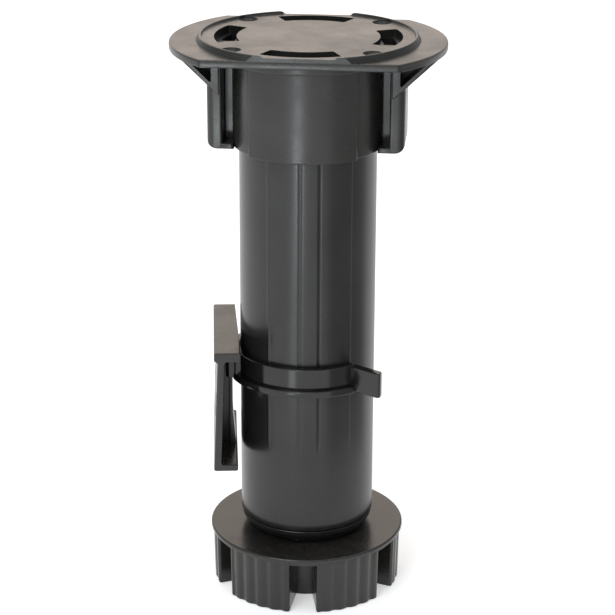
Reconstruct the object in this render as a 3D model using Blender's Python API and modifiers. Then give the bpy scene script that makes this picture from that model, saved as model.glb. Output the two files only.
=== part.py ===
"""Plug-in plinth leg with a screw foot and a plinth clip, for kitchen and office cabinets.

The leg tube stands on +Z with the middle of the foot's sole at the origin. The mounting
socket is at the top, the plinth clip and its bracket point to -X. All sizes are in metres.
"""

from math import cos, pi, radians, sin

import bmesh
import bpy
from mathutils import Matrix, Vector

MM = 0.001
GAP = 0.3 * MM
OVERLAP = 0.5 * MM
TOTAL_HEIGHT = 150.0 * MM

# Mounting socket: a round plate with two flats, over a sleeve that takes the leg
PLATE_RADIUS = 35.0 * MM
PLATE_FLAT = 25.4 * MM
PLATE_LOW = TOTAL_HEIGHT - 3.4 * MM
PLATE_HIGH = TOTAL_HEIGHT - 1.4 * MM
RIM_RADIUS = 28.2 * MM
RIM_WIDTH = 1.4 * MM
DISC_HIGH = TOTAL_HEIGHT - 0.6 * MM
POCKET_INNER = 18.0 * MM
POCKET_OUTER = 23.7 * MM
POCKET_HALF_ANGLE = radians(25)
POCKET_DEPTH = 2.0 * MM
WINDOW_INNER = 18.8 * MM
WINDOW_OUTER = 22.2 * MM
WINDOW_HALF_ANGLE = radians(11)
WINDOW_FLOOR = TOTAL_HEIGHT - 5.0 * MM
SCREW_PITCH_HALF = 17.3 * MM
SCREW_HOLE_RADIUS = 1.9 * MM
SOCKET_LOW = 121.5 * MM
COLLAR_RADIUS = 22.5 * MM
COLLAR_LOW = PLATE_LOW - 2.1 * MM
SLEEVE_RADIUS = 19.2 * MM
FRONT_LOBE_RADIUS = 20.4 * MM
FRONT_LOBE_HALF = 14.0 * MM
SIDE_LOBE_INNER = 21.1 * MM
SIDE_LOBE_OUTER = 25.0 * MM
SIDE_LOBE_HALF = 8.0 * MM
SIDE_LOBE_CORNER = 3.5 * MM
SIDE_STEM_HALF = 1.6 * MM
LOBE_FOOT_RADIUS = 2.5 * MM
LOBE_FLOOR = 1.5 * MM
GUSSET_HALF = 8.4 * MM
GUSSET_REACH = 33.4 * MM
GUSSET_FOOT = 135.2 * MM
POCKET_WALL = 1.4 * MM
POCKET_FLOOR_Y = 1.2 * MM

# Leg tube and the threaded bush in its lower end
TUBE_RADIUS = 17.7 * MM
TUBE_BORE = 15.4 * MM
TUBE_LOW = 20.3 * MM
TUBE_HIGH = 141.8 * MM
RIB_COUNT = 4
RIB_REACH = 14.3 * MM
RIB_HALF = 0.8 * MM
RIB_LOW = 42.6 * MM
BUSH_LOW = 16.3 * MM
BUSH_FLANGE_HIGH = TUBE_LOW - GAP
BUSH_TOE_RADIUS = 15.5 * MM
BUSH_HIGH = 42.0 * MM

# Screw thread, shared by the bush and the spindle
PITCH = 4.0 * MM
THREAD_STEPS = 16
THREAD_PLAY = 0.4 * MM
SPINDLE_CORE = 9.9 * MM
SPINDLE_CREST = 11.3 * MM
THREAD_ROOT_HALF = 1.15 * MM
THREAD_CREST_HALF = 0.55 * MM
SPINDLE_LOW = 3.0 * MM
SPINDLE_HIGH = 67.0 * MM
SPINDLE_BORE = 5.5 * MM
THREAD_LOW = 17.0 * MM
SPINDLE_TURNS = 10
NECK_LOW = 62.0 * MM
NECK_RADIUS = 8.0 * MM
HEAD_RADIUS = 9.0 * MM
HEAD_LOW = 65.0 * MM
RING_THICKNESS = 2.4 * MM

# Foot pad: a disc with a castellated skirt round a hub
PAD_HIGH = 16.0 * MM
PAD_RADIUS = 25.9 * MM
PAD_LIP = 1.2 * MM
SKIRT_TOP_RADIUS = 25.3 * MM
SKIRT_LOW_RADIUS = 25.0 * MM
DISC_THICKNESS = 2.2 * MM
HUB_RADIUS = 14.6 * MM
HUB_FLOOR = 2.4 * MM
NOTCH_COUNT = 6
NOTCH_HALF_ANGLE = radians(8.1)
NOTCH_TURN = radians(3.3)
CELL_INNER = 16.4 * MM
CELL_OUTER = 23.3 * MM
CELL_HALF_ANGLE = radians(17.0)

# Clip round the tube, with a head that runs in the plinth bracket
CLIP_BORE = TUBE_RADIUS + GAP
CLIP_RADIUS = 19.5 * MM
CLIP_LOW = 59.5 * MM
CLIP_HIGH = 67.0 * MM
CLIP_FLANGE_RADIUS = 20.8 * MM
CLIP_FLANGE_HIGH = 61.5 * MM
CLIP_FRONT_END = radians(46)
CLIP_BACK_END = radians(66)
CLIP_NECK_ANGLE = radians(25)
FLARE_START = Vector((13.0, 13.5)) * MM
FLARE_END = Vector((20.4, 18.1)) * MM
FLARE_THICKNESS = 1.6 * MM
NECK_HALF = 8.0 * MM
HEAD_TURN = radians(8)
HOOK_HIGH = 66.6 * MM
HOOK_INNER = 4.9 * MM
HOOK_OUTER = 6.9 * MM
HOOK_LIP_INNER = 2.5 * MM
HOOK_TIP_X = 21.65 * MM
HOOK_LIP_X = 21.0 * MM
NECK_X = 19.4 * MM

# Plinth bracket, in its own axes: it points to -X before it is turned with the clip's head
BRACKET_X = 25.0 * MM
BRACKET_HALF = 18.5 * MM
BRACKET_LOW = 38.5 * MM
BRACKET_HIGH = 71.4 * MM
TOP_FLANGE_LOW = 68.9 * MM
TOP_FLANGE_OUTER_X = 24.7 * MM
TOP_FLANGE_FRONT_X = 17.8 * MM
TOP_FLANGE_BACK_X = 18.9 * MM
FLOOR_HIGH = 40.3 * MM
FLOOR_X = 18.7 * MM
PLATE_OUTER_TOP_X = 23.8 * MM
PLATE_INNER_TOP_X = 21.9 * MM
PLATE_INNER_LOW_X = 23.0 * MM
WEB_HALF = 2.2 * MM
WEB_X = 23.4 * MM
RAIL_HALF = 4.6 * MM
RAIL_X = 20.7 * MM
RAIL_INNER_X = 19.85 * MM
RAIL_TAPER_Z = 49.5 * MM
RAIL_FOOT_X = 19.0 * MM
FIXING_HOLE_RADIUS = 1.8 * MM
FIXING_HOLE_Y = 12.5 * MM
FIXING_HOLE_Z = 55.0 * MM

# Faces round a full turn
FINE = 72
MEDIUM = 48
COARSE = 16

PARTS = "plinth_leg"
CUTTERS = "plinth_leg_cutters"

# Colour, roughness and metallic value of each piece
LOOKS = {
    "mount_socket": ((0.014, 0.014, 0.013, 1.0), 0.36, 0.0),
    "leg_tube": ((0.010, 0.010, 0.010, 1.0), 0.33, 0.0),
    "thread_bush": ((0.008, 0.008, 0.008, 1.0), 0.42, 0.0),
    "stop_ring": ((0.400, 0.390, 0.360, 1.0), 0.45, 0.0),
    "foot_spindle": ((0.014, 0.014, 0.014, 1.0), 0.40, 0.0),
    "foot_pad": ((0.014, 0.013, 0.012, 1.0), 0.40, 0.0),
    "tube_clip": ((0.007, 0.007, 0.007, 1.0), 0.30, 0.0),
    "plinth_bracket": ((0.016, 0.015, 0.014, 1.0), 0.42, 0.0),
}


def clear_scene():
    for obj in list(bpy.data.objects):
        bpy.data.objects.remove(obj, do_unlink=True)


def new_collection(name):
    collection = bpy.data.collections.new(name)
    bpy.context.scene.collection.children.link(collection)
    return collection


def make_material(name):
    colour, roughness, metallic = LOOKS[name]
    material = bpy.data.materials.new(name)
    material.use_nodes = True
    shader = material.node_tree.nodes["Principled BSDF"]
    shader.inputs["Base Color"].default_value = colour
    shader.inputs["Roughness"].default_value = roughness
    shader.inputs["Metallic"].default_value = metallic
    material.diffuse_color = colour
    return material


def as_cutter(obj):
    """Keep a helper solid out of the model."""
    bpy.data.collections[CUTTERS].objects.link(obj)
    obj.hide_render = True
    obj.display_type = "WIRE"
    return obj


def as_part(obj):
    """Make a solid one of the model's pieces, with its own material."""
    cutters = bpy.data.collections[CUTTERS]
    if obj.name in cutters.objects:
        cutters.objects.unlink(obj)
    bpy.data.collections[PARTS].objects.link(obj)
    obj.hide_render = False
    obj.display_type = "TEXTURED"
    obj.data.materials.append(make_material(obj.name))
    return obj


def box(name, low, high):
    """A box between two corners."""
    bm = bmesh.new()
    bmesh.ops.create_cube(bm, size=1.0)
    size = Vector(high) - Vector(low)
    centre = (Vector(high) + Vector(low)) / 2
    bm.transform(Matrix.Translation(centre) @ Matrix.Diagonal((*size, 1.0)))
    return solid_from(name, bm)


def solid_from(name, bm):
    mesh = bpy.data.meshes.new(name)
    bm.to_mesh(mesh)
    bm.free()
    return as_cutter(bpy.data.objects.new(name, mesh))


def turned(name, profile, steps=MEDIUM):
    """A turned solid: profile is a closed list of (radius, z) running down its outer side."""
    bm = bmesh.new()
    verts = [bm.verts.new((radius, 0.0, z)) for radius, z in profile]
    on_axis = profile[0][0] == 0.0 and profile[-1][0] == 0.0
    pairs = zip(verts, verts[1:] if on_axis else verts[1:] + verts[:1])
    for start, end in pairs:
        bm.edges.new((start, end))
    obj = solid_from(name, bm)
    screw = obj.modifiers.new("Turn", "SCREW")
    screw.axis = "Z"
    screw.steps = steps
    screw.render_steps = steps
    screw.use_merge_vertices = True
    screw.merge_threshold = 0.00001
    return obj


def baked(obj):
    """Replace an object by the mesh its modifiers or its curve make, with welded faces."""
    bpy.context.view_layer.update()
    graph = bpy.context.evaluated_depsgraph_get()
    mesh = bpy.data.meshes.new_from_object(obj.evaluated_get(graph))
    bm = bmesh.new()
    bm.from_mesh(mesh)
    bmesh.ops.remove_doubles(bm, verts=bm.verts, dist=0.000001)
    bmesh.ops.recalc_face_normals(bm, faces=bm.faces)
    bm.to_mesh(mesh)
    bm.free()
    mesh.transform(obj.matrix_world)
    name = obj.name
    bpy.data.objects.remove(obj, do_unlink=True)
    mesh.name = name
    return as_cutter(bpy.data.objects.new(name, mesh))


def slab(name, outline, low, high):
    """A flat solid: outline is a closed list of (x, y), low and high are its two heights."""
    curve = bpy.data.curves.new(name, "CURVE")
    curve.dimensions = "2D"
    curve.fill_mode = "BOTH"
    curve.extrude = (high - low) / 2
    spline = curve.splines.new("POLY")
    spline.points.add(len(outline) - 1)
    for point, (x, y) in zip(spline.points, outline):
        point.co = (x, y, 0.0, 1.0)
    spline.use_cyclic_u = True
    obj = bpy.data.objects.new(name, curve)
    obj.location.z = (high + low) / 2
    return baked(as_cutter(obj))


def side_slab(name, outline, half_width):
    """A flat solid on edge: outline is a closed list of (x, z), half_width is along Y."""
    obj = slab(name, outline, -half_width, half_width)
    obj.data.transform(Matrix.Rotation(radians(90), 4, "X"))
    return obj


def arc(radius, start, end, count, centre=(0.0, 0.0)):
    """Points along a circle, both ends included."""
    step = (end - start) / count
    angles = [start + step * index for index in range(count + 1)]
    return [(centre[0] + radius * cos(angle), centre[1] + radius * sin(angle)) for angle in angles]


def sector(inner, outer, middle, half_angle, count=12):
    """The outline of a piece of a ring."""
    outside = arc(outer, middle - half_angle, middle + half_angle, count)
    inside = arc(inner, middle + half_angle, middle - half_angle, count)
    return outside + inside


def combine(target, other, operation):
    """Add a Boolean of another solid to the target."""
    modifier = target.modifiers.new(other.name, "BOOLEAN")
    modifier.operation = operation
    modifier.object = other
    modifier.solver = "EXACT"
    return target


def join(target, *others):
    for other in others:
        combine(target, other, "UNION")
    return target


def cut(target, *others):
    for other in others:
        combine(target, other, "DIFFERENCE")
    return target


def round_drum(name, radius, low, high, steps=MEDIUM):
    """A solid cylinder on the Z axis."""
    return turned(name, [(0.0, high), (radius, high), (radius, low), (0.0, low)], steps)


def mirrored_x(outline):
    """An outline flipped to the other side of X = 0, still running the same way round."""
    return [(-x, z) for x, z in reversed(outline)]


def helix(name, low, turns, root, crest, root_half, crest_half):
    """A closed helical ridge of trapezoid section, right-handed, starting at +X."""
    bm = bmesh.new()
    section = [(root, root_half), (crest, crest_half), (crest, -crest_half), (root, -root_half)]
    verts = [bm.verts.new((radius, 0.0, low + z)) for radius, z in section]
    for start, end in zip(verts, verts[1:] + verts[:1]):
        bm.edges.new((start, end))
    obj = solid_from(name, bm)
    screw = obj.modifiers.new("Wind", "SCREW")
    screw.axis = "Z"
    screw.screw_offset = PITCH
    screw.iterations = turns
    screw.steps = THREAD_STEPS
    screw.render_steps = THREAD_STEPS
    return capped(obj)


def capped(obj):
    """Close the two open ends of a wound section."""
    obj = baked(obj)
    bm = bmesh.new()
    bm.from_mesh(obj.data)
    bmesh.ops.holes_fill(bm, edges=[edge for edge in bm.edges if edge.is_boundary], sides=8)
    bmesh.ops.recalc_face_normals(bm, faces=bm.faces)
    bm.to_mesh(obj.data)
    bm.free()
    return obj


def side_lobe_cap(inset):
    """The rounded end of a side lobe's plan, front half, shrunk by an inset."""
    radius = SIDE_LOBE_CORNER
    centre = (SIDE_LOBE_OUTER + OVERLAP - radius, radius - SIDE_LOBE_HALF)
    return arc(radius - inset, -pi / 2, 0.0, 6, centre)


def lobe_plan():
    """A side lobe's plan at +X: a stem on the sleeve and a rounded cap."""
    lower = [
        (SLEEVE_RADIUS - OVERLAP, -SIDE_STEM_HALF),
        (SIDE_LOBE_INNER, -SIDE_STEM_HALF),
        (SIDE_LOBE_INNER, -SIDE_LOBE_HALF),
    ]
    lower += side_lobe_cap(0.0)
    return lower + [(x, -y) for x, y in reversed(lower)]


def floor_plan():
    """The plan of the floor that closes a side lobe from below, at +X."""
    inset = 0.15 * MM
    lower = [(SLEEVE_RADIUS - 5 * OVERLAP, inset - SIDE_LOBE_HALF)] + side_lobe_cap(inset)
    return lower + [(x, -y) for x, y in reversed(lower)]


def lobe_side():
    """The side view that rounds a lobe's lower outer edge, at +X."""
    radius = LOBE_FOOT_RADIUS
    rounded = arc(radius, -pi / 2, 0.0, 6, (SIDE_LOBE_OUTER - radius, SOCKET_LOW + radius))
    inner = SLEEVE_RADIUS - 8 * OVERLAP
    return [(inner, SOCKET_LOW)] + rounded + [(SIDE_LOBE_OUTER, TOTAL_HEIGHT), (inner, TOTAL_HEIGHT)]


def make_side_lobe(side, outline_of):
    """One side lobe with its floor; outline_of puts an outline on the right side."""
    low = SOCKET_LOW - 1 * MM
    lobe = slab(f"lobe_{side}", outline_of(lobe_plan()), low, PLATE_LOW + 1.4 * OVERLAP)
    floor = slab(f"lobe_floor_{side}", outline_of(floor_plan()), low - 1 * MM, SOCKET_LOW + LOBE_FLOOR)
    limit = side_slab(f"lobe_limit_{side}", outline_of(lobe_side()), SIDE_LOBE_HALF + OVERLAP)
    join(lobe, floor)
    return combine(lobe, limit, "INTERSECT")


def make_gusset(side, outline_of):
    """The sloped web between a side lobe and the tip of the plate."""
    inner = SIDE_LOBE_INNER + OVERLAP
    outline = [
        (inner, GUSSET_FOOT),
        (GUSSET_REACH, PLATE_LOW),
        (GUSSET_REACH, PLATE_LOW + 2 * OVERLAP),
        (inner, PLATE_LOW + 2 * OVERLAP),
    ]
    return side_slab(f"gusset_{side}", outline_of(outline), GUSSET_HALF)


def gusset_pocket(side, outline_of, sign):
    """The triangular pocket in the front or back face of a gusset."""
    inner = SIDE_LOBE_OUTER - POCKET_WALL
    rise = (PLATE_LOW - GUSSET_FOOT) / (GUSSET_REACH - SIDE_LOBE_INNER - OVERLAP)
    low = GUSSET_FOOT + rise * (inner - SIDE_LOBE_INNER) + POCKET_WALL
    high = PLATE_LOW - 0.3 * MM
    outline = [(inner, low), (inner + (high - low) / rise, high), (inner, high)]
    pocket = side_slab(f"gusset_pocket_{side}", outline_of(outline), GUSSET_HALF)
    pocket.data.transform(Matrix.Translation((0.0, sign * (GUSSET_HALF + POCKET_FLOOR_Y), 0.0)))
    return pocket


def make_front_lobe(side, sign):
    """The curved pad on the sleeve's front or back."""
    chamfer = 0.7 * MM
    top = PLATE_LOW + OVERLAP
    drum = turned(
        f"front_lobe_{side}",
        [
            (0.0, top),
            (FRONT_LOBE_RADIUS, top),
            (FRONT_LOBE_RADIUS, SOCKET_LOW + chamfer),
            (FRONT_LOBE_RADIUS - chamfer, SOCKET_LOW),
            (0.0, SOCKET_LOW),
        ],
        FINE,
    )
    near, far = sorted((sign * 5 * MM, sign * (FRONT_LOBE_RADIUS + 5 * MM)))
    low = (-FRONT_LOBE_HALF, near, SOCKET_LOW - 5 * MM)
    high = (FRONT_LOBE_HALF, far, top + 5 * MM)
    return combine(drum, box(f"front_lobe_limit_{side}", low, high), "INTERSECT")


def socket_body():
    """The outside of the socket, still solid: rim, plate, collar and sleeve, with its lobes."""
    dish_radius = RIM_RADIUS - RIM_WIDTH
    sleeve_low = SOCKET_LOW + 0.2 * MM
    body = turned(
        "mount_socket",
        [
            (0.0, DISC_HIGH),
            (dish_radius, DISC_HIGH),
            (dish_radius, TOTAL_HEIGHT),
            (RIM_RADIUS, TOTAL_HEIGHT),
            (RIM_RADIUS, PLATE_HIGH),
            (PLATE_RADIUS, PLATE_HIGH),
            (PLATE_RADIUS, PLATE_LOW),
            (COLLAR_RADIUS, PLATE_LOW),
            (COLLAR_RADIUS, COLLAR_LOW),
            (SLEEVE_RADIUS, COLLAR_LOW),
            (SLEEVE_RADIUS, sleeve_low),
            (0.0, sleeve_low),
        ],
        FINE,
    )
    reach = PLATE_RADIUS + 5 * MM
    low = (-reach, -PLATE_FLAT, SOCKET_LOW - 5 * MM)
    high = (reach, PLATE_FLAT, TOTAL_HEIGHT + 5 * MM)
    combine(body, box("plate_flats", low, high), "INTERSECT")
    for side, sign in (("front", -1), ("back", 1)):
        join(body, make_front_lobe(side, sign))
    for side, outline_of in (("right", list), ("left", mirrored_x)):
        join(body, make_side_lobe(side, outline_of), make_gusset(side, outline_of))
        for sign in (-1, 1):
            cut(body, gusset_pocket(side, outline_of, sign))
    return body


def cut_socket_top(body):
    """The arc pockets in the disc, the deeper windows in two of them, and the screw holes."""
    above = TOTAL_HEIGHT + 1 * MM
    for quarter in range(4):
        middle = quarter * pi / 2
        outline = sector(POCKET_INNER, POCKET_OUTER, middle, POCKET_HALF_ANGLE)
        cut(body, slab(f"pocket_{quarter}", outline, DISC_HIGH - POCKET_DEPTH, above))
    for side, middle in (("right", radians(12)), ("left", radians(168))):
        outline = sector(WINDOW_INNER, WINDOW_OUTER, middle, WINDOW_HALF_ANGLE)
        cut(body, slab(f"window_{side}", outline, WINDOW_FLOOR, above))
    for x in (-SCREW_PITCH_HALF, SCREW_PITCH_HALF):
        for y in (-SCREW_PITCH_HALF, SCREW_PITCH_HALF):
            outline = arc(SCREW_HOLE_RADIUS, 0.0, 2 * pi, COARSE, (x, y))[:-1]
            cut(body, slab("screw_hole", outline, COLLAR_LOW - 1 * MM, above))


def make_mount_socket():
    body = socket_body()
    cut_socket_top(body)
    ledge = TUBE_HIGH + GAP
    bore = turned(
        "socket_bore",
        [
            (0.0, PLATE_LOW + GAP),
            (TUBE_BORE, PLATE_LOW + GAP),
            (TUBE_BORE, ledge),
            (TUBE_RADIUS + GAP, ledge),
            (TUBE_RADIUS + GAP, SOCKET_LOW - 1 * MM),
            (0.0, SOCKET_LOW - 1 * MM),
        ],
        FINE,
    )
    cut(body, bore)
    return as_part(body)


def make_leg_tube():
    """The tube, with guide ribs inside it above the bush."""
    tube = turned(
        "leg_tube",
        [
            (TUBE_RADIUS - 0.5 * MM, TUBE_HIGH),
            (TUBE_RADIUS, TUBE_HIGH - 0.8 * MM),
            (TUBE_RADIUS, TUBE_LOW),
            (TUBE_BORE, TUBE_LOW),
            (TUBE_BORE, TUBE_HIGH),
        ],
        MEDIUM,
    )
    for index in range(RIB_COUNT):
        low = (RIB_REACH, -RIB_HALF, RIB_LOW)
        high = (TUBE_BORE + OVERLAP, RIB_HALF, TUBE_HIGH - 2 * MM)
        rib = box(f"guide_rib_{index}", low, high)
        rib.data.transform(Matrix.Rotation(pi / 4 + index * 2 * pi / RIB_COUNT, 4, "Z"))
        join(tube, rib)
    return as_part(tube)


def make_thread_bush():
    """The insert in the tube's lower end, with its chamfered flange and the inner thread."""
    plug = TUBE_BORE - GAP
    bore = SPINDLE_CORE + THREAD_PLAY
    bush = turned(
        "thread_bush",
        [
            (plug - 0.6 * MM, BUSH_HIGH),
            (plug, BUSH_HIGH - 0.8 * MM),
            (plug, BUSH_FLANGE_HIGH),
            (TUBE_RADIUS, BUSH_FLANGE_HIGH),
            (TUBE_RADIUS - 0.2 * MM, BUSH_FLANGE_HIGH - 0.8 * MM),
            (BUSH_TOE_RADIUS, BUSH_LOW),
            (bore, BUSH_LOW),
            (bore, BUSH_HIGH),
        ],
        MEDIUM,
    )
    groove = helix(
        "bush_groove",
        THREAD_LOW - PITCH,
        8,
        bore - OVERLAP,
        SPINDLE_CREST + THREAD_PLAY,
        THREAD_ROOT_HALF + THREAD_PLAY,
        THREAD_CREST_HALF + THREAD_PLAY,
    )
    cut(bush, groove)
    return as_part(bush)


def make_foot_spindle():
    """The hollow screw spindle, with a necked top that holds the stop ring."""
    spindle = turned(
        "foot_spindle",
        [
            (HEAD_RADIUS - 0.8 * MM, SPINDLE_HIGH),
            (HEAD_RADIUS, HEAD_LOW + 1 * MM),
            (HEAD_RADIUS, HEAD_LOW),
            (NECK_RADIUS, HEAD_LOW),
            (NECK_RADIUS, NECK_LOW),
            (SPINDLE_CORE, NECK_LOW),
            (SPINDLE_CORE, SPINDLE_LOW),
            (SPINDLE_BORE, SPINDLE_LOW),
            (SPINDLE_BORE, SPINDLE_HIGH),
        ],
        2 * THREAD_STEPS,
    )
    ridge = helix(
        "spindle_ridge",
        THREAD_LOW + PITCH / 2,
        SPINDLE_TURNS,
        SPINDLE_CORE - OVERLAP,
        SPINDLE_CREST,
        THREAD_ROOT_HALF,
        THREAD_CREST_HALF,
    )
    ridge.data.transform(Matrix.Rotation(pi, 4, "Z"))
    join(spindle, ridge)
    return as_part(spindle)


def make_stop_ring():
    """The keyed ring under the spindle's head, which slides on the tube's guide ribs."""
    low = NECK_LOW + GAP
    outer = TUBE_BORE - 2 * GAP
    ring = turned(
        "stop_ring",
        [
            (outer, low + RING_THICKNESS),
            (outer, low),
            (NECK_RADIUS + GAP, low),
            (NECK_RADIUS + GAP, low + RING_THICKNESS),
        ],
        MEDIUM,
    )
    for index in range(RIB_COUNT):
        corner = (RIB_REACH - GAP, -RIB_HALF - GAP, low - 1 * MM)
        far = (TUBE_BORE + 1 * MM, RIB_HALF + GAP, low + RING_THICKNESS + 1 * MM)
        notch = box(f"ring_notch_{index}", corner, far)
        notch.data.transform(Matrix.Rotation(pi / 4 + index * 2 * pi / RIB_COUNT, 4, "Z"))
        cut(ring, notch)
    return as_part(ring)


def make_foot_pad():
    """The pad: a disc on six hollow blocks round a hub, with open notches between them."""
    pad = turned(
        "foot_pad",
        [
            (0.0, HUB_FLOOR),
            (SPINDLE_CORE + GAP, HUB_FLOOR),
            (SPINDLE_CORE + GAP, PAD_HIGH),
            (PAD_RADIUS - 0.3 * MM, PAD_HIGH),
            (PAD_RADIUS, PAD_HIGH - 0.3 * MM),
            (PAD_RADIUS, PAD_HIGH - PAD_LIP),
            (SKIRT_TOP_RADIUS, PAD_HIGH - PAD_LIP - 0.2 * MM),
            (SKIRT_LOW_RADIUS, 0.0),
            (0.0, 0.0),
        ],
        FINE,
    )
    under_disc = PAD_HIGH - DISC_THICKNESS
    for index in range(NOTCH_COUNT):
        middle = NOTCH_TURN - pi / 2 + index * 2 * pi / NOTCH_COUNT
        notch = sector(HUB_RADIUS, PAD_RADIUS + 3 * MM, middle, NOTCH_HALF_ANGLE, 4)
        cut(pad, slab(f"notch_{index}", notch, -1 * MM, under_disc))
        between = middle + pi / NOTCH_COUNT
        cell = sector(CELL_INNER, CELL_OUTER, between, CELL_HALF_ANGLE, 8)
        cut(pad, slab(f"cell_{index}", cell, -1 * MM, under_disc - 0.4 * MM))
    return as_part(pad)


def clip_ring_outline():
    """The plan of the clip's open ring, whose mouth is at +X and turned to the back."""
    start = CLIP_BACK_END
    end = 2 * pi - CLIP_FRONT_END
    inner = CLIP_BORE - OVERLAP
    return arc(CLIP_RADIUS, start, end, 48) + arc(inner, end, start, 48)


def clip_flange_outline(sign, mouth):
    """The plan of the stiffening flange on one arm, from the neck to the mouth."""
    start = mouth + radians(2)
    end = pi - CLIP_NECK_ANGLE
    inner = CLIP_BORE + OVERLAP
    return sector(inner, CLIP_FLANGE_RADIUS, sign * (start + end) / 2, (end - start) / 2, 20)


def flare_outline(sign, mouth):
    """The plan of the lead-in that turns out from the end of one arm."""
    along = (FLARE_END - FLARE_START).normalized()
    across = Vector((-along.y, along.x)) * FLARE_THICKNESS / 2
    tip = [FLARE_END - across * cos(turn) + along * FLARE_THICKNESS / 2 * sin(turn)
           for turn in (0.0, pi / 4, pi / 2, 3 * pi / 4, pi)]
    corners = [FLARE_START - across, *tip, FLARE_START + across]
    turned_back = Matrix.Rotation(mouth - CLIP_FRONT_END, 2)
    corners = [turned_back @ corner for corner in corners]
    return [(corner.x, sign * corner.y) for corner in corners]


def hook_outline(sign):
    """The plan of one hook of the clip's head, which reaches behind the bracket's flange."""
    outline = [
        (-(NECK_X - 1.5 * MM), HOOK_INNER),
        (-HOOK_LIP_X, HOOK_INNER),
        (-HOOK_LIP_X, HOOK_LIP_INNER),
        (-HOOK_TIP_X, HOOK_LIP_INNER),
        (-HOOK_TIP_X, HOOK_OUTER),
        (-(NECK_X - 1.5 * MM), HOOK_OUTER),
    ]
    return [(x, sign * y) for x, y in outline]


def swung(obj):
    """Turn a solid about the leg with the clip's head."""
    obj.data.transform(Matrix.Rotation(HEAD_TURN, 4, "Z"))
    return obj


def make_tube_clip():
    """The spring clip: an open ring with a stiffening flange, two lead-ins and a hooked head."""
    step = 0.2 * MM
    clip = slab("tube_clip", clip_ring_outline(), CLIP_LOW + step, CLIP_HIGH)
    neck_low = (-NECK_X, -NECK_HALF, CLIP_LOW + 2 * step)
    neck_high = (-(NECK_X - 4 * MM), NECK_HALF, HOOK_HIGH - step)
    join(clip, swung(box("clip_neck", neck_low, neck_high)))
    for side, sign, mouth in (("front", -1, CLIP_FRONT_END), ("back", 1, CLIP_BACK_END)):
        outline = clip_flange_outline(sign, mouth)
        flange = slab(f"clip_flange_{side}", outline, CLIP_LOW, CLIP_FLANGE_HIGH)
        outline = flare_outline(sign, mouth)
        flare = slab(f"clip_flare_{side}", outline, CLIP_LOW + 3 * step, CLIP_HIGH - 2 * step)
        hook = slab(f"clip_hook_{side}", hook_outline(sign), CLIP_LOW + 3 * step, HOOK_HIGH)
        join(clip, flange, flare, swung(hook))
    cut(clip, round_drum("clip_bore", CLIP_BORE, CLIP_LOW - 1 * MM, CLIP_HIGH + 1 * MM, FINE))
    return as_part(clip)


def bracket_outline():
    """The side view of the bracket: a leaning plate between a top flange and a floor."""
    slope = 0.3 * MM
    return [
        (-BRACKET_X, BRACKET_LOW),
        (-FLOOR_X, BRACKET_LOW),
        (-FLOOR_X, FLOOR_HIGH),
        (-PLATE_INNER_LOW_X, FLOOR_HIGH),
        (-PLATE_INNER_TOP_X, TOP_FLANGE_LOW),
        (-TOP_FLANGE_FRONT_X, TOP_FLANGE_LOW),
        (-TOP_FLANGE_FRONT_X, BRACKET_HIGH),
        (-TOP_FLANGE_OUTER_X, BRACKET_HIGH),
        (-TOP_FLANGE_OUTER_X, TOP_FLANGE_LOW + slope),
        (-PLATE_OUTER_TOP_X, TOP_FLANGE_LOW - slope),
    ]


def rail_outline():
    """The side view of the rail, which thickens towards the floor."""
    return [
        (-RAIL_X, FLOOR_HIGH - OVERLAP),
        (-RAIL_FOOT_X, FLOOR_HIGH - OVERLAP),
        (-RAIL_INNER_X, RAIL_TAPER_Z),
        (-RAIL_INNER_X, TOP_FLANGE_LOW + OVERLAP),
        (-RAIL_X, TOP_FLANGE_LOW + OVERLAP),
    ]


def flange_trim():
    """A solid that trims the top flange's inner edge, so that it narrows towards the back."""
    beyond = BRACKET_HALF + 1 * MM
    slant = (TOP_FLANGE_BACK_X - TOP_FLANGE_FRONT_X) / (2 * BRACKET_HALF)
    outline = [
        (-(TOP_FLANGE_FRONT_X - slant * 1 * MM), -beyond),
        (-10 * MM, -beyond),
        (-10 * MM, beyond),
        (-(TOP_FLANGE_BACK_X + slant * 1 * MM), beyond),
    ]
    return slab("flange_trim", outline, TOP_FLANGE_LOW - 2 * MM, BRACKET_HIGH + 1 * MM)


def make_plinth_bracket():
    """The bracket: a plate with two flanges, and a T-shaped rail that the clip's head runs on."""
    bracket = side_slab("plinth_bracket", bracket_outline(), BRACKET_HALF)
    cut(bracket, flange_trim())
    web_low = (-WEB_X, -WEB_HALF, FLOOR_HIGH - OVERLAP)
    web_high = (-(RAIL_X - OVERLAP), WEB_HALF, TOP_FLANGE_LOW + OVERLAP)
    join(bracket, box("rail_web", web_low, web_high))
    join(bracket, side_slab("rail", rail_outline(), RAIL_HALF))
    for side, y in (("front", -FIXING_HOLE_Y), ("back", FIXING_HOLE_Y)):
        hole = arc(FIXING_HOLE_RADIUS, 0.0, 2 * pi, COARSE)[:-1]
        fixing = slab(f"fixing_hole_{side}", hole, 20 * MM, 30 * MM)
        fixing.data.transform(Matrix.Rotation(-pi / 2, 4, "Y"))
        fixing.data.transform(Matrix.Translation((0.0, y, FIXING_HOLE_Z)))
        cut(bracket, fixing)
    return as_part(swung(baked(bracket)))


def shade_smooth(obj):
    """Smooth the round faces and keep the edges over 30 degrees sharp."""
    obj.data.shade_smooth()
    obj.data.set_sharp_from_angle(angle=radians(30))


def main():
    clear_scene()
    new_collection(PARTS)
    new_collection(CUTTERS)
    makers = (
        make_mount_socket,
        make_leg_tube,
        make_thread_bush,
        make_stop_ring,
        make_foot_spindle,
        make_foot_pad,
        make_tube_clip,
        make_plinth_bracket,
    )
    for maker in makers:
        shade_smooth(maker())


main()
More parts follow.
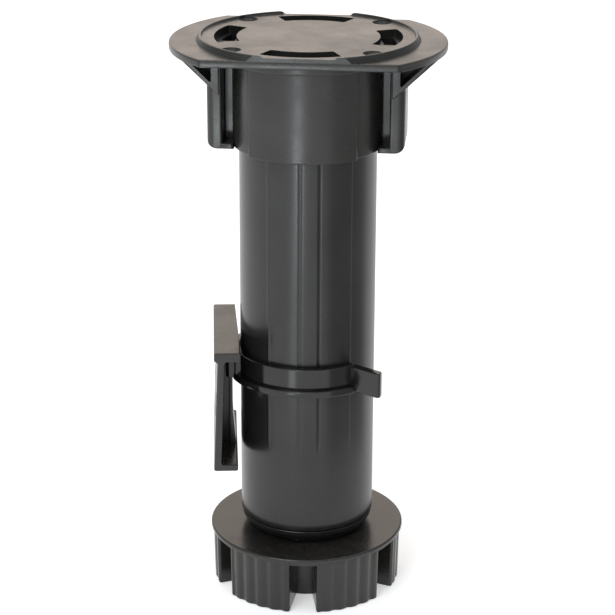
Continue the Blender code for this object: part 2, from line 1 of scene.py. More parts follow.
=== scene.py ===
"""Looks for the plug-in plinth leg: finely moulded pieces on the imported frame, black plastic, studio.

Outlines and profiles are in millimetres in the frame's axes; pieces are scaled to metres once made.
"""

from math import asin, atan2, cos, degrees, exp, pi, radians, sin, tan

import bmesh
import bpy
from mathutils import Matrix, Vector


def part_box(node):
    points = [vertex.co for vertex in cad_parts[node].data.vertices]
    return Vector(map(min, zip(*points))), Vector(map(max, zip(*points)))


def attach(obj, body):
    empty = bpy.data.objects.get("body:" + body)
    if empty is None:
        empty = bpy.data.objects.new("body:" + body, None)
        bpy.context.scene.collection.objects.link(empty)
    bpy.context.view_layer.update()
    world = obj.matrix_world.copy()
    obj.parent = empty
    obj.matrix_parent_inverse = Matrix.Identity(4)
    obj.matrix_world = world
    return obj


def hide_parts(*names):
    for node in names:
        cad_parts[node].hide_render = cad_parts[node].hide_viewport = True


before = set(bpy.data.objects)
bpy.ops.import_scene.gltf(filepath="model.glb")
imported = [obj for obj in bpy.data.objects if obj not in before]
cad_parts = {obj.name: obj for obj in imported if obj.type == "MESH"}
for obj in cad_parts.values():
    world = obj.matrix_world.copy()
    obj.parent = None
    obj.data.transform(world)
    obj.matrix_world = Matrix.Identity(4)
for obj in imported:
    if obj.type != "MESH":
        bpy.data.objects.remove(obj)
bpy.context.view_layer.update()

MM = 0.001
ROUND = 180  # steps round a turned solid
NEARLY_STRAIGHT = radians(170)
EDGE_SHARE = 0.48  # the most of an edge that one rounded corner takes up
EDGE_BEND = 0.3  # where a prism's rounded edge bends, as a share of its size
FADE_STEPS = 12  # steps over which a thread's ends fade out


# Outlines


def arc(radius, start, end, count, centre=(0.0, 0.0)):
    """Points along a circle, both ends included; the angles are in degrees."""
    step = radians(end - start) / count
    angles = [radians(start) + step * index for index in range(count + 1)]
    return [(centre[0] + radius * cos(a), centre[1] + radius * sin(a)) for a in angles]


def fillet(points, radius, steps=3, closed=True):
    """Round the corners of an outline; a point may carry its own radius as a third number."""
    result = []
    last = len(points) - 1
    for index, point in enumerate(points):
        here = Vector(point[:2])
        own = point[2] if len(point) > 2 else radius
        before = Vector(points[index - 1][:2]) - here
        after = Vector(points[(index + 1) % len(points)][:2]) - here
        corner = before.angle(after)
        if own == 0 or corner > NEARLY_STRAIGHT or (not closed and index in (0, last)):
            result.append(tuple(here))
            continue
        reach = min(own / tan(corner / 2), EDGE_SHARE * before.length, EDGE_SHARE * after.length)
        size = reach * tan(corner / 2)
        before.normalize()
        after.normalize()
        centre = here + (before + after).normalized() * (size / sin(corner / 2))
        start = here + before * reach - centre
        end = here + after * reach - centre
        first = atan2(start.y, start.x)
        turn = (atan2(end.y, end.x) - first + pi) % (2 * pi) - pi
        for step in range(steps + 1):
            angle = first + turn * step / steps
            result.append((centre.x + size * cos(angle), centre.y + size * sin(angle)))
    return result


def inset(outline, amount):
    """Shrink an anticlockwise outline by moving each corner along its bisector."""
    result = []
    for index, point in enumerate(outline):
        here = Vector(point)
        back = (here - Vector(outline[index - 1])).normalized()
        on = (Vector(outline[(index + 1) % len(outline)]) - here).normalized()
        inward = Vector((-back.y - on.y, back.x + on.x))
        if inward.length < 0.001:
            inward = Vector((-on.y, on.x))
        inward.normalize()
        share = max(0.5, inward.dot(Vector((-on.y, on.x))))
        result.append(tuple(here + inward * amount / share))
    return result


def anticlockwise(outline):
    """The outline, turned round if it runs clockwise."""
    pairs = zip(outline, outline[1:] + outline[:1])
    area = sum(a[0] * b[1] - b[0] * a[1] for a, b in pairs)
    return outline if area > 0 else outline[::-1]


def mirrored(outline):
    """The outline on the other side of X = 0; a corner keeps its radius."""
    return [(-point[0], *point[1:]) for point in outline]


# Solids


def placed(name, bm):
    """Turn a bmesh in millimetres into an object of the scene."""
    bmesh.ops.recalc_face_normals(bm, faces=bm.faces)
    if bm.calc_volume(signed=True) < 0:
        bmesh.ops.reverse_faces(bm, faces=bm.faces)
    mesh = bpy.data.meshes.new(name)
    bm.to_mesh(mesh)
    bm.free()
    obj = bpy.data.objects.new(name, mesh)
    bpy.context.scene.collection.objects.link(obj)
    return obj


def turned(name, profile, steps=ROUND, radius_of=None):
    """A turned solid; radius_of(radius, z, angle) may vary the radius round the axis."""
    bm = bmesh.new()
    rings = []
    for radius, z in profile:
        if radius == 0:
            rings.append([bm.verts.new((0.0, 0.0, z))])
            continue
        ring = []
        for step in range(steps):
            angle = 2 * pi * (step + 0.37) / steps
            size = radius_of(radius, z, angle) if radius_of else radius
            ring.append(bm.verts.new((size * cos(angle), size * sin(angle), z)))
        rings.append(ring)
    closed = profile[0][0] != 0
    following = rings[1:] + rings[:1] if closed else rings[1:]
    for one, two in zip(rings, following):
        for step in range(steps):
            after = (step + 1) % steps
            corners = [one[step % len(one)], one[after % len(one)]]
            corners += [two[after % len(two)], two[step % len(two)]]
            bm.faces.new(list(dict.fromkeys(corners)))
    return placed(name, bm)


def prism(name, outline, low, high, edge=0.25):
    """A flat solid whose top and bottom edges are rounded."""
    outline = anticlockwise(outline)
    bm = bmesh.new()
    rings = []
    shrinks = [0.0] if edge == 0 else [edge, edge * EDGE_BEND, 0.0]
    rises = [0.0] if edge == 0 else [0.0, edge * EDGE_BEND, edge]
    heights = [(shrink, low + rise) for shrink, rise in zip(shrinks, rises)]
    heights += [(shrink, high - rise) for shrink, rise in reversed(list(zip(shrinks, rises)))]
    for shrink, z in heights:
        ring = inset(outline, shrink) if shrink else outline
        rings.append([bm.verts.new((x, y, z)) for x, y in ring])
    for one, two in zip(rings, rings[1:]):
        for index in range(len(one)):
            after = (index + 1) % len(one)
            bm.faces.new((one[index], one[after], two[after], two[index]))
    bm.faces.new(rings[0][::-1])
    bm.faces.new(rings[-1])
    return placed(name, bm)


def side_prism(name, outline, half_width, edge=0.25):
    """A flat solid on edge: the outline is in X and Z, the thickness along Y."""
    obj = prism(name, outline, -half_width, half_width, edge)
    obj.data.transform(Matrix.Rotation(radians(90), 4, "X"))
    return obj


def box(name, low, high, edge=0.0):
    """A block between two corners."""
    outline = [(low[0], low[1]), (high[0], low[1]), (high[0], high[1]), (low[0], high[1])]
    return prism(name, fillet(outline, 1.5 * edge) if edge else outline, low[2], high[2], edge)


def polar(radius, angle):
    """A point at a radius and an angle in degrees."""
    return (radius * cos(radians(angle)), radius * sin(radians(angle)))


def sector(inner, outer, middle, half, count=16, corner=0.3):
    """The outline of a piece of a ring with rounded corners; the angles are in degrees."""
    far = half - degrees(asin(corner / (outer - corner)))
    near = half - degrees(asin(corner / (inner + corner)))
    points = arc(outer, middle - far, middle + far, count)[:-1]
    points += arc(corner, middle + far, middle + half + 90, 4, polar(outer - corner, middle + far))
    centre = polar(inner + corner, middle + near)
    points += arc(corner, middle + half + 90, middle + near + 180, 4, centre)
    points += arc(inner, middle + near, middle - near, count)[1:-1]
    centre = polar(inner + corner, middle - near)
    points += arc(corner, middle - near + 180, middle - half + 270, 4, centre)
    points += arc(corner, middle - half - 90, middle - far, 4, polar(outer - corner, middle - far))[:-1]
    return points


def flatted(radius, flat, corner, count=60):
    """A circle with two flats along X and rounded corners."""
    rise = flat - corner
    run = ((radius - corner) ** 2 - rise**2) ** 0.5
    angle = degrees(atan2(rise, run))
    points = []
    for turn, x, y in ((0, run, rise), (180, -run, -rise)):
        points += arc(radius, turn - angle, turn + angle, count)[:-1]
        points += arc(corner, turn + angle, turn + 90, 5, (x, y))
        points += arc(corner, turn + 90, turn + 180 - angle, 5, (-x, y))[:-1]
    return points


def baked(obj):
    """Apply an object's modifiers."""
    bpy.context.view_layer.update()
    graph = bpy.context.evaluated_depsgraph_get()
    mesh = bpy.data.meshes.new_from_object(obj.evaluated_get(graph))
    obj.modifiers.clear()
    obj.data = mesh
    return obj


def combine(target, others, operation):
    """Apply booleans to a solid one after another, and remove the tools."""
    for other in others:
        modifier = target.modifiers.new(other.name, "BOOLEAN")
        modifier.operation = operation
        modifier.object = other
        modifier.solver = "EXACT"
    baked(target)
    for other in others:
        bpy.data.objects.remove(other, do_unlink=True)
    return target


def join(target, *others):
    return combine(target, others, "UNION")


def cut(target, *others):
    return combine(target, others, "DIFFERENCE")


def common(target, *others):
    return combine(target, others, "INTERSECT")


def helix(name, low, turns, root, crest, root_half, crest_half, steps=48):
    """A right-handed helical ridge that starts at +X, with its ends faded into the core."""
    bm = bmesh.new()
    rows = []
    for step in range(turns * steps + 1):
        angle = 2 * pi * step / steps
        z = low + PITCH * step / steps
        fade = min(1.0, step / FADE_STEPS, (turns * steps - step) / FADE_STEPS)
        height = root + 0.05 + (crest - root - 0.05) * fade
        soft = 0.25
        section = [
            (root, root_half),
            (height - soft, crest_half + soft * 0.7),
            (height, crest_half - soft * 0.4),
        ]
        section += [(radius, -half) for radius, half in reversed(section)]
        rows.append([bm.verts.new((r * cos(angle), r * sin(angle), z + h)) for r, h in section])
    for one, two in zip(rows, rows[1:]):
        for index in range(6):
            after = (index + 1) % 6
            bm.faces.new((one[index], one[after], two[after], two[index]))
    bm.faces.new(rows[0])
    bm.faces.new(rows[-1][::-1])
    return placed(name, bm)


def finished(obj, material, body, smooth=34):
    """Scale a solid to metres, shade it, give it its material and its body, and hide the frame's part
    that it replaces.
    """
    bm = bmesh.new()
    bm.from_mesh(obj.data)
    bmesh.ops.remove_doubles(bm, verts=bm.verts, dist=0.0005)
    bmesh.ops.dissolve_degenerate(bm, edges=bm.edges, dist=0.0005)
    bm.to_mesh(obj.data)
    bm.free()
    obj.data.transform(Matrix.Scale(MM, 4))
    obj.data.materials.clear()
    obj.data.materials.append(material)
    obj.data.shade_smooth()
    obj.data.set_sharp_from_angle(angle=radians(smooth))
    normals = obj.modifiers.new("Normals", "WEIGHTED_NORMAL")
    normals.keep_sharp = True
    baked(obj)
    node = obj.name.removesuffix("_fine")
    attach(obj, body)
    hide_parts(node)


# Levels taken from the frame, in millimetres

SOCKET_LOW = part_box("mount_socket")[0].z / MM
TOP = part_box("mount_socket")[1].z / MM
TUBE_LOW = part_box("leg_tube")[0].z / MM
TUBE_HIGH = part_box("leg_tube")[1].z / MM
TUBE_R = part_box("leg_tube")[1].x / MM
PAD_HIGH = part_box("foot_pad")[1].z / MM
CLIP_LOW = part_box("tube_clip")[0].z / MM
CLIP_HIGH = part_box("tube_clip")[1].z / MM
BRACKET_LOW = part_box("plinth_bracket")[0].z / MM
BRACKET_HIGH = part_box("plinth_bracket")[1].z / MM

# Sizes that the frame's boxes do not give, in millimetres and degrees

PLATE_LOW = TOP - 3.4
LOBE_INNER = 21.1
LOBE_OUTER = 25.0
LOBE_HALF = 8.0
LOBE_STEM = 1.6
LOBE_CORNER = 3.5
GUSSET_INNER = 21.6
GUSSET_OUTER = 33.4
GUSSET_LOW = 135.2
GUSSET_HALF = 8.4
GUSSET_WALL = 1.4
GUSSET_POCKET = 1.2
CLIP_INNER = 18.0
HOOK_FACE = 21.0
HEAD_HIGH = 66.6
HEAD_TURN = 8.0
PITCH = 4.0


# Mounting socket


def side_lobe(side, outline_of):
    """The T-shaped lobe on one side of the sleeve, with its floor."""
    cap = [
        (18.8, -LOBE_STEM, 0),
        (LOBE_INNER, -LOBE_STEM, 0.4),
        (LOBE_INNER, -LOBE_HALF, 0.6),
        (LOBE_OUTER, -LOBE_HALF, LOBE_CORNER),
        (LOBE_OUTER, LOBE_HALF, LOBE_CORNER),
        (LOBE_INNER, LOBE_HALF, 0.6),
        (LOBE_INNER, LOBE_STEM, 0.4),
        (18.8, LOBE_STEM, 0),
    ]
    low = SOCKET_LOW - 1
    lobe = prism(f"lobe_{side}", outline_of(fillet(cap, 0, 8)), low, TOP - 2.6, 0)
    outer = LOBE_OUTER - 0.1
    half = LOBE_HALF - 0.1
    floor = [
        (18.2, -half, 0.8),
        (outer, -half, LOBE_CORNER),
        (outer, half, LOBE_CORNER),
        (18.2, half, 0.8),
    ]
    plan = outline_of(fillet(floor, 0, 8))
    join(lobe, prism(f"lobe_floor_{side}", plan, low - 1, SOCKET_LOW + 1.5, 0.3))
    outer = LOBE_OUTER + 0.03
    view = [
        (17.0, SOCKET_LOW, 0),
        (outer, SOCKET_LOW, 2.6),
        (outer, TOP + 2, 0),
        (17.0, TOP + 2, 0),
    ]
    limit = side_prism(f"lobe_limit_{side}", outline_of(fillet(view, 0, 8)), LOBE_HALF + 0.02, 0.6)
    return common(lobe, limit)


def gusset(side, outline_of):
    """The wedge that carries the plate beyond a lobe."""
    view = [
        (GUSSET_INNER, GUSSET_LOW, 0.3),
        (GUSSET_OUTER, 146.4, 0.3),
        (GUSSET_OUTER, 147.6, 0),
        (GUSSET_INNER, 147.6, 0),
    ]
    return side_prism(f"gusset_{side}", outline_of(fillet(view, 0)), GUSSET_HALF, 0.4)


def gusset_pocket(side, outline_of, sign):
    """The triangular pocket in a gusset's front or back face."""
    inner = LOBE_OUTER - GUSSET_WALL
    rise = (PLATE_LOW - GUSSET_LOW) / (GUSSET_OUTER - GUSSET_INNER)
    low = GUSSET_LOW + rise * (inner - GUSSET_INNER) + GUSSET_WALL
    high = PLATE_LOW - 0.3
    view = [(inner, low, 0.3), (inner + (high - low) / rise, high, 0.3), (inner, high, 0.3)]
    pocket = side_prism(f"gusset_pocket_{side}", outline_of(fillet(view, 0)), GUSSET_HALF, 0)
    pocket.data.transform(Matrix.Translation((0, sign * (GUSSET_HALF + GUSSET_POCKET), 0)))
    return pocket


def make_socket():
    """The round plate with its rim, pockets and windows, the sleeve, the lobes and the gussets."""
    body = turned(
        "mount_socket_fine",
        fillet(
            [
                (0.0, TOP - 0.6),
                (26.7, TOP - 0.6, 0.25),
                (26.9, TOP, 0.3),
                (27.5, TOP, 0.5),
                (28.5, TOP - 1.9, 0),
                (22.5, TOP - 1.9, 0),
                (22.5, TOP - 5.5, 0.5),
                (19.2, TOP - 5.5, 0.5),
                (19.2, SOCKET_LOW + 0.2, 0.3),
                (18.4, SOCKET_LOW + 0.2, 0.2),
                (18.0, SOCKET_LOW + 0.8, 0.2),
                (18.0, TUBE_HIGH + 0.3, 0.2),
                (15.4, TUBE_HIGH + 0.3, 0.2),
                (15.4, TOP - 3.1, 0.2),
                (0.0, TOP - 3.1),
            ],
            0.3,
            4,
            closed=False,
        ),
    )
    common(body, box("boss_flats", (-40, -25.25, 100), (40, 25.25, 160)))
    plate = flatted(35.0, 25.4, 1.2)
    join(body, prism("plate", plate, PLATE_LOW, TOP - 1.4, 0.45))
    for side, middle in (("front", -90), ("back", 90)):
        outline = sector(18.3, 20.4, middle, 43.0, 48, 0.7)
        join(body, prism(f"pad_{side}", outline, SOCKET_LOW, TOP - 2.6, 0.6))
    for side, outline_of in (("right", list), ("left", mirrored)):
        join(body, side_lobe(side, outline_of), gusset(side, outline_of))
        cut(body, gusset_pocket(side, outline_of, -1), gusset_pocket(side, outline_of, 1))
    for quarter in range(4):
        middle = 90 * quarter
        outline = sector(18.0, 23.7, middle, 25, 16, 0.6)
        cut(body, prism(f"pocket_{quarter}", outline, TOP - 2.55, TOP + 1, 0))
    for sign, middle in ((1, 12), (-1, 168)):
        outline = sector(18.8, 22.2, middle, 11, 10, 0.5)
        cut(body, prism(f"window_{sign}", outline, TOP - 5.0, TOP + 1, 0))
    for x in (-17.3, 17.3):
        for y in (-17.3, 17.3):
            drill = [(0, TOP + 1), (2.5, TOP + 1), (2.5, TOP - 0.8)]
            drill += [(1.9, TOP - 1.5), (1.9, 140), (0, 140)]
            hole = turned("screw_hole", drill, 36)
            hole.data.transform(Matrix.Translation((x, y, 0)))
            cut(body, hole)
    return body


# Leg tube and bush


DRAW_MIDDLE = -83
DRAW_LINES = (  # angle from the middle of the front or back, height, width
    (-36, 0.16, 1.1),
    (36, 0.16, 1.1),
    (-8, -0.18, 1.2),
    (8, -0.36, 1.0),
)


def draw_lines(angle):
    """Height of the lines that run down the tube, in millimetres."""
    height = 0.0
    for half_turn in (0, 180):
        for offset, size, width in DRAW_LINES:
            line = radians(DRAW_MIDDLE + half_turn + offset)
            away = (angle - line + pi) % (2 * pi) - pi
            height += size * exp(-((away / radians(width)) ** 2))
    return height


def make_tube():
    """The tube, with lines down its front and back and four guide ribs inside."""

    def radius_of(radius, z, angle):
        if radius < 17.0:
            return radius
        fade = min(1.0, max(0.0, (z - 43.0) / 3.0))
        return radius + draw_lines(angle) * fade

    levels = [TUBE_HIGH - 1.0 - (TUBE_HIGH - 3.0 - TUBE_LOW) * k / 60 for k in range(61)]
    profile = [(15.4, TUBE_LOW), (15.4, TUBE_HIGH - 0.4), (15.7, TUBE_HIGH)]
    profile += [(17.1, TUBE_HIGH), (17.5, TUBE_HIGH - 0.3)]
    profile += [(TUBE_R - 0.05, z) for z in levels]
    profile += [(TUBE_R - 0.05, TUBE_LOW + 0.3), (TUBE_R - 0.2, TUBE_LOW)]
    tube = turned("leg_tube_fine", profile, 480, radius_of)
    ribs = []
    for index in range(4):
        rib = box(f"rib_{index}", (14.3, -0.8, 42.6), (15.9, 0.8, TUBE_HIGH - 2), 0.2)
        rib.data.transform(Matrix.Rotation(pi / 4 + index * pi / 2, 4, "Z"))
        ribs.append(rib)
    return join(tube, *ribs)


def make_bush():
    """The chamfered ring at the tube's lower end, with its plug, nubs and inner thread."""
    high = TUBE_LOW - 0.3
    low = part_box("thread_bush")[0].z / MM
    profile = [
        (10.4, low, 0.3),
        (15.4, low, 0.5),
        (17.2, high - 1.3, 0.8),
        (TUBE_R - 0.1, high, 0.2),
        (15.1, high, 0),
        (15.1, 41.2, 0.2),
        (14.5, 42.0, 0.2),
        (10.4, 42.0, 0.2),
    ]
    bush = turned("thread_bush_fine", fillet(profile, 0, 3))
    nubs = []
    for angle in (-94, -71, 86, 109):
        nub = turned("nub", [(0, 0.55), (0.5, 0.4), (0.7, 0), (0.6, -0.4), (0, -0.6)], 20)
        nub.data.transform(Matrix.Diagonal((1.0, 1.6, 1.0, 1.0)))
        nub.data.transform(Matrix.Translation((15.3, 0, low + 0.75)))
        nub.data.transform(Matrix.Rotation(radians(angle), 4, "Z"))
        nubs.append(nub)
    join(bush, *nubs)
    groove = helix("bush_groove", 13.0, 8, 9.9, 11.7, 1.55, 0.95)
    return cut(bush, groove)


# Foot


def make_spindle():
    """The hollow screw with its neck for the stop ring."""
    profile = [
        (5.5, 3.0, 0),
        (9.9, 3.0, 0.3),
        (9.9, 62.0, 0.4),
        (8.0, 62.0, 0.2),
        (8.0, 65.0, 0.2),
        (9.0, 65.0, 0.3),
        (9.0, 66.2, 0.2),
        (8.2, 67.0, 0.2),
        (5.5, 67.0, 0),
    ]
    spindle = turned("foot_spindle_fine", fillet(profile, 0, 3), 96)
    ridge = helix("spindle_ridge", 19.0, 10, 9.4, 11.3, 1.25, 0.6)
    ridge.data.transform(Matrix.Rotation(pi, 4, "Z"))
    return join(spindle, ridge)


def block_outline(middle):
    """The plan of one block of the skirt: a ring piece with upright grip flutes outside."""
    points = []
    for x, y in sector(14.2, 25.3, middle, 21.9, 110, 0.7):
        radius = Vector((x, y)).length
        offset = (degrees(atan2(y, x)) - middle + 180) % 360 - 180
        wave = 0.5 + 0.5 * cos(2 * pi * (offset - 2.6) / 8.75)
        edge = min(1.0, max(0.0, (20.0 - abs(offset)) / 2.5))
        depth = 0.42 * (1 - wave) ** 1.6 * edge if radius > 25.25 else 0.0
        points.append((x * (1 - depth / radius), y * (1 - depth / radius)))
    return points


def make_pad():
    """The disc on its hub and six fluted blocks, which are hollow from below."""
    low = 0.0
    under = PAD_HIGH - 2.2
    profile = [
        (0.0, 2.4),
        (10.2, 2.4, 0.2),
        (10.2, PAD_HIGH, 0.3),
        (25.9, PAD_HIGH, 0.45),
        (25.9, PAD_HIGH - 1.2, 0.3),
        (25.0, PAD_HIGH - 1.5, 0.2),
        (25.0, under, 0.2),
        (14.6, under, 0.3),
        (14.6, low, 0.5),
        (0.0, low),
    ]
    pad = turned("foot_pad_fine", fillet(profile, 0, 4, closed=False))
    blocks = []
    cells = []
    for index in range(6):
        middle = -86.7 + 30 + 60 * index
        blocks.append(prism(f"block_{index}", block_outline(middle), low, under + 0.9, 0.5))
        cell = sector(16.4, 23.3, middle, 17, 12, 0.8)
        cells.append(prism(f"cell_{index}", cell, -1, under - 0.4, 0))
    for block in blocks:
        for vert in block.data.vertices:
            drop = 0.3 * (under - vert.co.z) / under
            radius = vert.co.xy.length
            if radius > 24:
                vert.co.xy *= (radius - drop) / radius
    join(pad, *blocks)
    return cut(pad, *cells)


# Clip and bracket


def swung(obj, angle=HEAD_TURN):
    """Turn a solid about the tube's axis, by the head's turn unless told otherwise."""
    """Turn a solid about the leg, by default with the clip's head."""
    obj.data.transform(Matrix.Rotation(radians(angle), 4, "Z"))
    return obj


def make_clip():
    """The open ring with its stiffening flange, two lead-ins and the hooked head."""
    ring = sector(17.2, 19.5, 190, 124, 120, 0.5)
    clip = prism("tube_clip_fine", ring, CLIP_LOW + 0.15, CLIP_HIGH, 0.35)
    pieces = [swung(box("neck", (-19.4, -8, CLIP_LOW + 0.4), (-15.6, 8, HEAD_HIGH - 0.2), 0.3))]
    arms = (("front", -1, 101.5, 53.5, 0), ("back", 1, 111.5, 43.5, 20))
    for side, sign, middle, half, swing in arms:
        flange = sector(18.6, 20.8, sign * middle, half, 60, 0.5)
        pieces.append(prism(f"flange_{side}", flange, CLIP_LOW, CLIP_LOW + 2.0, 0.4))
        flare = [(12.2, 12.9), (13.6, 12.6), (20.9, 17.3), (20.4, 19.1), (19.6, 19.2), (12.6, 14.8)]
        flare = fillet([(x, sign * y) for x, y in flare], 0.55, 4)
        pieces.append(swung(prism(f"flare_{side}", flare, CLIP_LOW + 0.3, CLIP_HIGH - 0.4, 0.35), swing))
        hook = [(-18.0, 4.9), (-HOOK_FACE, 4.9), (-HOOK_FACE, 2.5), (-21.6, 2.8)]
        hook += [(-21.6, 6.1), (-20.9, 6.9), (-18.0, 6.9)]
        hook = fillet([(x, sign * y) for x, y in hook], 0.3)
        pieces.append(swung(prism(f"hook_{side}", hook, CLIP_LOW + 0.6, HEAD_HIGH, 0.2)))
    join(clip, *pieces)
    return cut(clip, prism("clip_bore", arc(CLIP_INNER, 0, 360, ROUND)[:-1], 50, 80, 0))


def make_bracket():
    """The flanged plate with the T-shaped rail for the clip's head and two fixing holes."""
    low = BRACKET_LOW
    high = BRACKET_HIGH
    ceiling = high - 2.5
    floor = low + 1.8
    view = [
        (-25.0, low, 0.5),
        (-18.7, low, 0.5),
        (-18.7, floor, 0.5),
        (-23.0, floor, 0.6),
        (-21.9, ceiling, 0.6),
        (-17.8, ceiling, 0.5),
        (-17.8, high, 0.5),
        (-24.7, high, 0.5),
        (-24.7, ceiling + 0.3, 0.5),
        (-23.8, ceiling - 0.3, 0.5),
    ]
    bracket = side_prism("plinth_bracket_fine", fillet(view, 0, 4), 18.5, 0.35)
    trim = [(-17.74, -20), (-10, -20), (-10, 20), (-18.95, 20)]
    cut(bracket, prism("flange_trim", trim, ceiling - 2, high + 1, 0))
    rail = [
        (-20.7, floor - 0.7, 0),
        (-19.0, floor - 0.7, 0),
        (-19.85, 49.5, 2.0),
        (-19.85, ceiling + 0.7, 0),
        (-20.7, ceiling + 0.7, 0),
    ]
    join(
        bracket,
        box("rail_web", (-23.4, -2.2, floor - 0.6), (-20.2, 2.2, ceiling + 0.6)),
        side_prism("rail", fillet(rail, 0, 4), 4.6, 0.2),
    )
    for y in (-12.5, 12.5):
        drill = [(0, 30), (3.4, 30), (3.4, 23.6), (1.8, 22.6), (1.8, 20), (0, 20)]
        hole = turned("fixing_hole", drill, 36)
        hole.data.transform(Matrix.Rotation(-pi / 2, 4, "Y"))
        hole.data.transform(Matrix.Translation((0, y, 55.0)))
        cut(bracket, hole)
    return swung(bracket)


# Materials


def plastic(name, colour, rough, grain, streak=0.0, dust=0.0, ripple=0.35, uneven=0.055):
    """Moulded plastic: uneven sheen, fine grain, flow streaks and a little dust on upward faces."""
    material = bpy.data.materials.new(name)
    material.use_nodes = True
    tree = material.node_tree
    link = tree.links.new
    shader = tree.nodes["Principled BSDF"]
    shader.inputs["IOR"].default_value = 1.5
    place = tree.nodes.new("ShaderNodeTexCoord")

    def texture(scale, detail, roughness=0.5, stretch=None):
        node = tree.nodes.new("ShaderNodeTexNoise")
        node.inputs["Scale"].default_value = scale
        node.inputs["Detail"].default_value = detail
        node.inputs["Roughness"].default_value = roughness
        if stretch is None:
            link(place.outputs["Object"], node.inputs["Vector"])
        else:
            mapping = tree.nodes.new("ShaderNodeMapping")
            mapping.inputs["Scale"].default_value = stretch
            link(place.outputs["Object"], mapping.inputs["Vector"])
            link(mapping.outputs["Vector"], node.inputs["Vector"])
        return node.outputs["Fac"]

    def ramp(source, low, high, first, last):
        node = tree.nodes.new("ShaderNodeMapRange")
        node.inputs["From Min"].default_value = low
        node.inputs["From Max"].default_value = high
        node.inputs["To Min"].default_value = first
        node.inputs["To Max"].default_value = last
        link(source, node.inputs["Value"])
        return node.outputs["Result"]

    def blended(factor, one, two):
        node = tree.nodes.new("ShaderNodeMix")
        node.data_type = "RGBA"
        for socket, value in ((node.inputs[6], one), (node.inputs[7], two)):
            if isinstance(value, tuple):
                socket.default_value = value
            else:
                link(value, socket)
        link(factor, node.inputs[0])
        return node.outputs[2]

    cloud = texture(60, 4)
    lighter = tuple(c * 1.5 for c in colour) + (1.0,)
    darker = tuple(c * 0.72 for c in colour) + (1.0,)
    base = blended(ramp(cloud, 0.3, 0.7, 0.0, 1.0), darker, lighter)
    geometry = tree.nodes.new("ShaderNodeNewGeometry")
    split = tree.nodes.new("ShaderNodeSeparateXYZ")
    link(geometry.outputs["Normal"], split.inputs["Vector"])
    upward = ramp(split.outputs["Z"], 0.55, 1.0, 0.0, 1.0)
    speck = ramp(texture(900, 6, 0.7), 0.5, 0.75, 0.0, dust)
    amount = tree.nodes.new("ShaderNodeMath")
    amount.operation = "MULTIPLY"
    link(upward, amount.inputs[0])
    link(speck, amount.inputs[1])
    base = blended(amount.outputs[0], base, (0.42, 0.39, 0.35, 1.0))
    link(base, shader.inputs["Base Color"])

    sheen = texture(110, 5, 0.6)
    drawn = texture(90, 3, 0.5, (1.0, 1.0, 0.05))
    mixed = tree.nodes.new("ShaderNodeMath")
    mixed.operation = "ADD"
    link(ramp(sheen, 0.3, 0.7, rough - uneven, rough + uneven), mixed.inputs[0])
    link(ramp(drawn, 0.35, 0.65, -streak, streak), mixed.inputs[1])
    link(mixed.outputs[0], shader.inputs["Roughness"])

    fine = tree.nodes.new("ShaderNodeBump")
    fine.inputs["Strength"].default_value = grain
    fine.inputs["Distance"].default_value = 0.00002
    link(texture(3500, 4, 0.6), fine.inputs["Height"])
    wave = tree.nodes.new("ShaderNodeBump")
    wave.inputs["Strength"].default_value = ripple
    wave.inputs["Distance"].default_value = 0.00006
    link(drawn, wave.inputs["Height"])
    link(fine.outputs["Normal"], wave.inputs["Normal"])
    link(wave.outputs["Normal"], shader.inputs["Normal"])
    return material


socket_plastic = plastic(
    "socket_plastic", (0.014, 0.014, 0.013), 0.29, grain=0.4, streak=0.02, dust=0.08
)
tube_plastic = plastic(
    "tube_plastic", (0.010, 0.010, 0.010), 0.28, grain=0.06, streak=0.04, ripple=0.14, uneven=0.012
)
bush_plastic = plastic("bush_plastic", (0.008, 0.008, 0.008), 0.34, grain=0.3)
spindle_plastic = plastic("spindle_plastic", (0.014, 0.014, 0.014), 0.36, grain=0.4)
pad_plastic = plastic(
    "pad_plastic", (0.014, 0.013, 0.012), 0.24, grain=0.3, streak=0.02, dust=0.05, ripple=0.2
)
clip_plastic = plastic(
    "clip_plastic", (0.007, 0.007, 0.007), 0.15, grain=0.2, ripple=0.1, uneven=0.03
)
bracket_plastic = plastic(
    "bracket_plastic", (0.016, 0.015, 0.014), 0.30, grain=0.4, streak=0.02, dust=0.10, ripple=0.2
)
ring_plastic = plastic("ring_plastic", (0.40, 0.39, 0.36), 0.45, grain=0.4)

finished(make_socket(), socket_plastic, "socket")
finished(make_tube(), tube_plastic, "leg")
finished(make_bush(), bush_plastic, "leg")
finished(make_spindle(), spindle_plastic, "foot")
finished(make_pad(), pad_plastic, "foot")
finished(make_clip(), clip_plastic, "clip")
finished(make_bracket(), bracket_plastic, "bracket")
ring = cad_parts["stop_ring"]
for slot in ring.material_slots:
    slot.material = ring_plastic


# Studio


def make_floor():
    """A plain pale floor."""
    bpy.ops.mesh.primitive_plane_add(size=8.0, location=(0.0, 0.0, 0.0))
    floor = bpy.context.object
    floor.name = "floor"
    material = bpy.data.materials.new("pale_floor")
    material.use_nodes = True
    shader = material.node_tree.nodes["Principled BSDF"]
    shader.inputs["Base Color"].default_value = (0.92, 0.92, 0.92, 1.0)
    shader.inputs["Roughness"].default_value = 0.9
    shader.inputs["Specular IOR Level"].default_value = 0.1
    shader.inputs["Emission Color"].default_value = (1.0, 1.0, 1.0, 1.0)
    shader.inputs["Emission Strength"].default_value = 0.42
    floor.data.materials.append(material)


def area_light(name, place, aim, size, power, colour):
    """A soft rectangular light that the camera doesn't see."""
    data = bpy.data.lights.new(name, "AREA")
    data.shape = "RECTANGLE"
    data.size, data.size_y = size
    data.energy = power
    data.color = colour
    obj = bpy.data.objects.new(name, data)
    obj.location = place
    obj.rotation_euler = (Vector(aim) - Vector(place)).to_track_quat("-Z", "Y").to_euler()
    obj.visible_camera = False
    bpy.context.scene.collection.objects.link(obj)


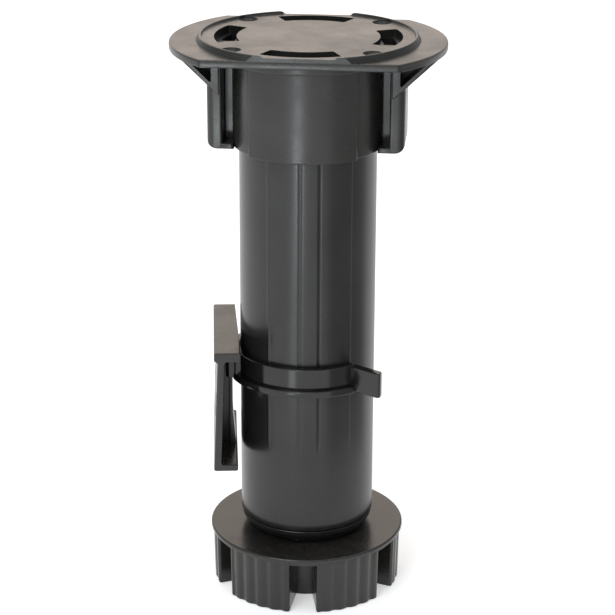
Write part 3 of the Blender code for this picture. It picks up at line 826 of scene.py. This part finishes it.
def floor_light(name, near, far, heading, spread, strength, colour):
    """A light that lies on the floor in front of the leg and shows only in its reflections."""
    data = bpy.data.lights.new(name, "AREA")
    data.shape = "RECTANGLE"
    data.size = (near + far) / 2 * radians(spread)
    data.size_y = far - near
    data.energy = strength * pi * data.size * data.size_y
    data.color = colour
    obj = bpy.data.objects.new(name, data)
    middle = (near + far) / 2
    obj.location = (middle * cos(radians(heading)), middle * sin(radians(heading)), 0.001)
    obj.rotation_euler = (pi, 0.0, radians(heading + 90))
    obj.visible_camera = False
    bpy.context.scene.collection.objects.link(obj)


def make_flag():
    """A grey card just above the floor on the right, seen only in reflections."""
    near, far, height = 0.11, 0.7, 0.0005
    outline = [polar(near, angle) for angle in (25, -13, -52)]
    outline += [polar(far, angle) for angle in (-52, -13, 25)]
    bm = bmesh.new()
    bm.faces.new([bm.verts.new((x, y, height)) for x, y in outline])
    mesh = bpy.data.meshes.new("flag")
    bm.to_mesh(mesh)
    bm.free()
    flag = bpy.data.objects.new("flag", mesh)
    material = bpy.data.materials.new("flag_felt")
    material.use_nodes = True
    shader = material.node_tree.nodes["Principled BSDF"]
    shader.inputs["Base Color"].default_value = (0.46, 0.46, 0.45, 1.0)
    shader.inputs["Roughness"].default_value = 1.0
    mesh.materials.append(material)
    bpy.context.scene.collection.objects.link(flag)
    flag.visible_camera = False
    flag.visible_diffuse = False
    flag.visible_shadow = False


def make_camera():
    """The camera, aimed at the leg's axis from slightly to the right."""
    data = bpy.data.cameras.new("camera")
    data.sensor_width = 36.0
    data.lens = 121.2
    data.clip_start = 0.01
    obj = bpy.data.objects.new("camera", data)
    place = Vector((0.04789, -0.50756, 0.26508))
    pitch = radians(20.264)
    heading = atan2(-place.x, -place.y) + radians(180)
    ahead = Vector((-place.x, -place.y, 0.0)).normalized()
    look = ahead * cos(pitch) + Vector((0.0, 0.0, -sin(pitch)))
    turn = look.to_track_quat("-Z", "Y").to_matrix().to_4x4()
    obj.matrix_world = Matrix.Translation(place) @ turn @ Matrix.Rotation(radians(0.216), 4, "Z")
    bpy.context.scene.collection.objects.link(obj)
    bpy.context.scene.camera = obj


make_floor()
make_flag()
floor_light("near_glow", 0.16, 0.34, -106.5, 7.0, strength=2.1, colour=(0.90, 0.97, 1.0))
floor_light("far_glow", 0.34, 0.62, -99.0, 8.0, strength=11.0, colour=(0.88, 0.96, 1.0))
STUDIO_LIGHTS = (  # name, place, aim, size, power, colour
    ("key", (-0.35, -0.75, 0.75), (0, 0, 0.08), (0.5, 0.5), 4.0, (0.93, 0.97, 1.0)),
    ("front", (-0.12, -1.2, 0.45), (0, 0, 0.08), (0.9, 0.45), 1.0, (1.0, 0.93, 0.85)),
    ("back", (-0.35, 1.1, 0.70), (0, 0, 0.12), (1.2, 1.0), 3.8, (1.0, 0.82, 0.68)),
    ("top", (0.0, 0.1, 1.3), (0, 0, 0.0), (1.4, 1.2), 5.0, (1.0, 0.97, 0.94)),
)
for light in STUDIO_LIGHTS:
    area_light(*light)
world = bpy.data.worlds.new("studio")
world.use_nodes = True
background = world.node_tree.nodes["Background"]
background.inputs["Color"].default_value = (0.9, 0.92, 0.95, 1.0)
background.inputs["Strength"].default_value = 0.50
bpy.context.scene.world = world
bpy.context.scene.view_settings.view_transform = "Standard"
make_camera()
